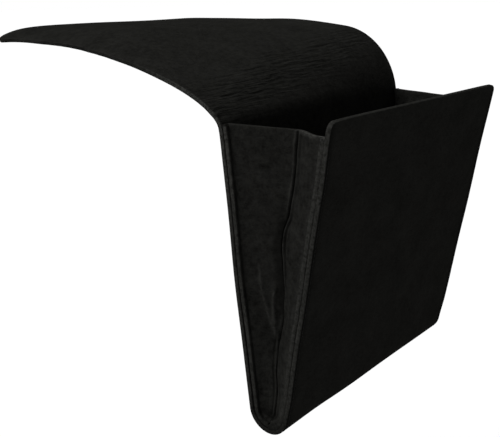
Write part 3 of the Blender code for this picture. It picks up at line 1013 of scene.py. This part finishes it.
def floor_finish(studio):
    """Pale floor that keeps shadows and shows white where it is looked at or mirrored."""
    material, tree, shader = new_material("pale_floor")
    seen = looked_at(tree)
    grain = noise(tree, add_node(tree, "ShaderNodeTexCoord").outputs["Object"], 3.0, 2.0)
    shader.inputs["Base Color"].default_value = (*studio.floor_colour, 1.0)
    feed(tree, shader, Roughness=scaled(tree, grain, 0.05, 0.90))
    shader.inputs["Specular IOR Level"].default_value = 0.0
    shader.inputs["Emission Color"].default_value = (1.0, 1.0, 1.0, 1.0)
    feed(tree, shader, Emission_Strength=maths(tree, "MULTIPLY", seen, studio.floor_glow))
    return material


def looked_at(tree):
    """1 for rays from the camera, a mirror or clear stuff, and 0 for the light on the object."""
    path = add_node(tree, "ShaderNodeLightPath")
    seen = maths(tree, "MAXIMUM", path.outputs["Is Camera Ray"], path.outputs["Is Glossy Ray"])
    return maths(tree, "MAXIMUM", seen, path.outputs["Is Transmission Ray"])


# Operators


# Distance above the back's top up to which the sheet's rows lie close together
CLOSE_ROWS_END = 0.130


class ORGANIZER_OT_sheet(bpy.types.Operator):
    """Build the long sheet of felt as two meshes that meet on the flat back"""

    bl_idname = "organizer.build_sheet"
    bl_label = "Felt Sheet"

    def execute(self, context):
        size, seam = context.scene.organizer_sheet, context.scene.organizer_seam
        finish = felt_finish("sheet_felt", context.scene.organizer_finish, True)
        split = -size.split_drop
        flap_rows, flap_tuck = corner_rows(size.flap_length, size.flap_corner, 1.0, size.pitch)
        along = np.concatenate([
            spaced(split, 0.0, size.pitch)[:-1],
            spaced(0.0, CLOSE_ROWS_END, size.bend_pitch)[:-1],
            spaced(CLOSE_ROWS_END, flap_rows[0], size.pitch)[:-1],
            flap_rows,
        ])
        tuck = np.concatenate([np.zeros(len(along) - len(flap_rows)), flap_tuck])
        upper = put_sheet("felt_sheet_upper", size, seam, along, tuck, size.flap_length, size.flap_corner)
        end = -pocket_length(size)
        front_rows, front_tuck = corner_rows(end, size.front_corner, -1.0, size.pitch)
        fold_start, fold_end = -size.back_length, -size.back_length - fold_length(size)
        along = np.concatenate([
            front_rows[::-1],
            spaced(front_rows[0], fold_end, size.pitch)[1:],
            spaced(fold_end, fold_start, size.bend_pitch)[1:],
            spaced(fold_start, split, size.pitch)[1:],
        ])
        tuck = np.concatenate([front_tuck[::-1], np.zeros(len(along) - len(front_rows))])
        lower = put_sheet("felt_sheet_lower", size, seam, along, tuck, end, size.front_corner)
        for piece in (upper, lower):
            piece.data.materials.append(finish)
        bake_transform(upper)
        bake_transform(lower)
        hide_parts("flap", "flap_bend", "back_panel")
        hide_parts("bottom_fold", "front_panel")
        return {"FINISHED"}


class ORGANIZER_OT_gussets(bpy.types.Operator):
    """Build the two folded side gussets"""

    bl_idname = "organizer.build_gussets"
    bl_label = "Side Gussets"

    def execute(self, context):
        size, gusset = context.scene.organizer_sheet, context.scene.organizer_gusset
        finish = felt_finish("gusset_felt", context.scene.organizer_finish, False)
        for name, node, side, seed in (
            ("near_gusset", "left_gusset", -1.0, 21),
            ("far_gusset", "right_gusset", 1.0, 43),
        ):
            piece = put_gusset(name, size, gusset, side, seed)
            piece.data.materials.append(finish)
            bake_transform(piece)
            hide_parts(node)
            cut, area = gusset_cut(size, gusset, side, seed)
        return {"FINISHED"}


class ORGANIZER_OT_seams(bpy.types.Operator):
    """Build the stitches of the two side seams"""

    bl_idname = "organizer.build_seams"
    bl_label = "Side Seams"

    def execute(self, context):
        scene = context.scene
        finish = thread_finish(scene.organizer_finish)
        for name, side in (("near_seam", -1.0), ("far_seam", 1.0)):
            piece = put_seam(name, scene.organizer_sheet, scene.organizer_seam, scene.organizer_gusset, side)
            piece.data.materials.append(finish)
            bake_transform(piece)
        return {"FINISHED"}


class ORGANIZER_OT_studio(bpy.types.Operator):
    """Build the pale floor, the soft lights and the camera"""

    bl_idname = "organizer.build_studio"
    bl_label = "Studio"

    def execute(self, context):
        scene, studio = context.scene, context.scene.organizer_studio
        low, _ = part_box("bottom_fold")
        reach, level = studio.floor_reach, low.z - studio.floor_drop
        across = np.linspace(-reach, reach, 2)
        x, y = np.meshgrid(across, across)
        points = np.stack([x.ravel(), y.ravel(), np.full(4, level)], axis=-1)
        mesh = bpy.data.meshes.new("floor")
        mesh.from_pydata(points.tolist(), [], [(0, 1, 3, 2)])
        floor = bpy.data.objects.new("floor", mesh)
        scene.collection.objects.link(floor)
        mesh.materials.append(floor_finish(studio))

        world = bpy.data.worlds.new("studio_air")
        world.use_nodes = True
        scene.world = world
        tree = world.node_tree
        seen = looked_at(tree)
        strength = scaled(tree, seen, 1.0 - studio.ambient, studio.ambient)
        feed(tree, tree.nodes["Background"], Color=(1.0, 1.0, 1.0, 1.0), Strength=strength)

        lamp = bpy.data.lights.new("key_light", "SUN")
        lamp.energy = studio.key_light
        lamp.angle = studio.key_spread
        light = bpy.data.objects.new("key_light", lamp)
        light.rotation_euler = studio.key_way.to_track_quat("Z", "Y").to_euler()
        scene.collection.objects.link(light)

        camera = bpy.data.cameras.new("camera")
        camera.lens = studio.lens
        camera.sensor_width = 36.0
        camera.clip_start = 0.01
        stand = bpy.data.objects.new("camera", camera)
        stand.location = studio.camera_place
        stand.rotation_euler = studio.camera_turn
        scene.collection.objects.link(stand)
        scene.camera = stand
        scene.view_settings.view_transform = "Standard"
        return {"FINISHED"}


class ORGANIZER_PT_builder(bpy.types.Panel):
    """Buttons that build the organizer"""

    bl_idname = "ORGANIZER_PT_builder"
    bl_label = "Felt Organizer"
    bl_space_type = "VIEW_3D"
    bl_region_type = "UI"
    bl_category = "Organizer"

    def draw(self, context):
        """List the operators and the sizes a user may change."""
        column = self.layout.column()
        for operator in BUILDERS:
            column.operator(operator.bl_idname)
        for group in (context.scene.organizer_sheet, context.scene.organizer_finish):
            for key in group.__annotations__:
                column.prop(group, key)


BUILDERS = (ORGANIZER_OT_sheet, ORGANIZER_OT_gussets, ORGANIZER_OT_seams, ORGANIZER_OT_studio)
GROUPS = {
    "organizer_sheet": SheetSizes,
    "organizer_gusset": GussetSizes,
    "organizer_seam": SeamSizes,
    "organizer_finish": Finish,
    "organizer_studio": Studio,
}


def register():
    """Register the classes and hang the sizes on the scene."""
    for name, group in GROUPS.items():
        bpy.utils.register_class(group)
        setattr(bpy.types.Scene, name, PointerProperty(type=group))
    for operator in BUILDERS:
        bpy.utils.register_class(operator)
    bpy.utils.register_class(ORGANIZER_PT_builder)


def unregister():
    """Undo register."""
    bpy.utils.unregister_class(ORGANIZER_PT_builder)
    for operator in reversed(BUILDERS):
        bpy.utils.unregister_class(operator)
    for name, group in GROUPS.items():
        delattr(bpy.types.Scene, name)
        bpy.utils.unregister_class(group)


def corners(bounds):
    """The two corners of a box as plain lists."""
    return [list(corner) for corner in bounds]


def main():
    """Build every piece."""
    register()
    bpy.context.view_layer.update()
    bpy.ops.organizer.build_sheet()
    bpy.ops.organizer.build_gussets()
    bpy.ops.organizer.build_seams()
    bpy.ops.organizer.build_studio()


if __name__ == "__main__":
    main()
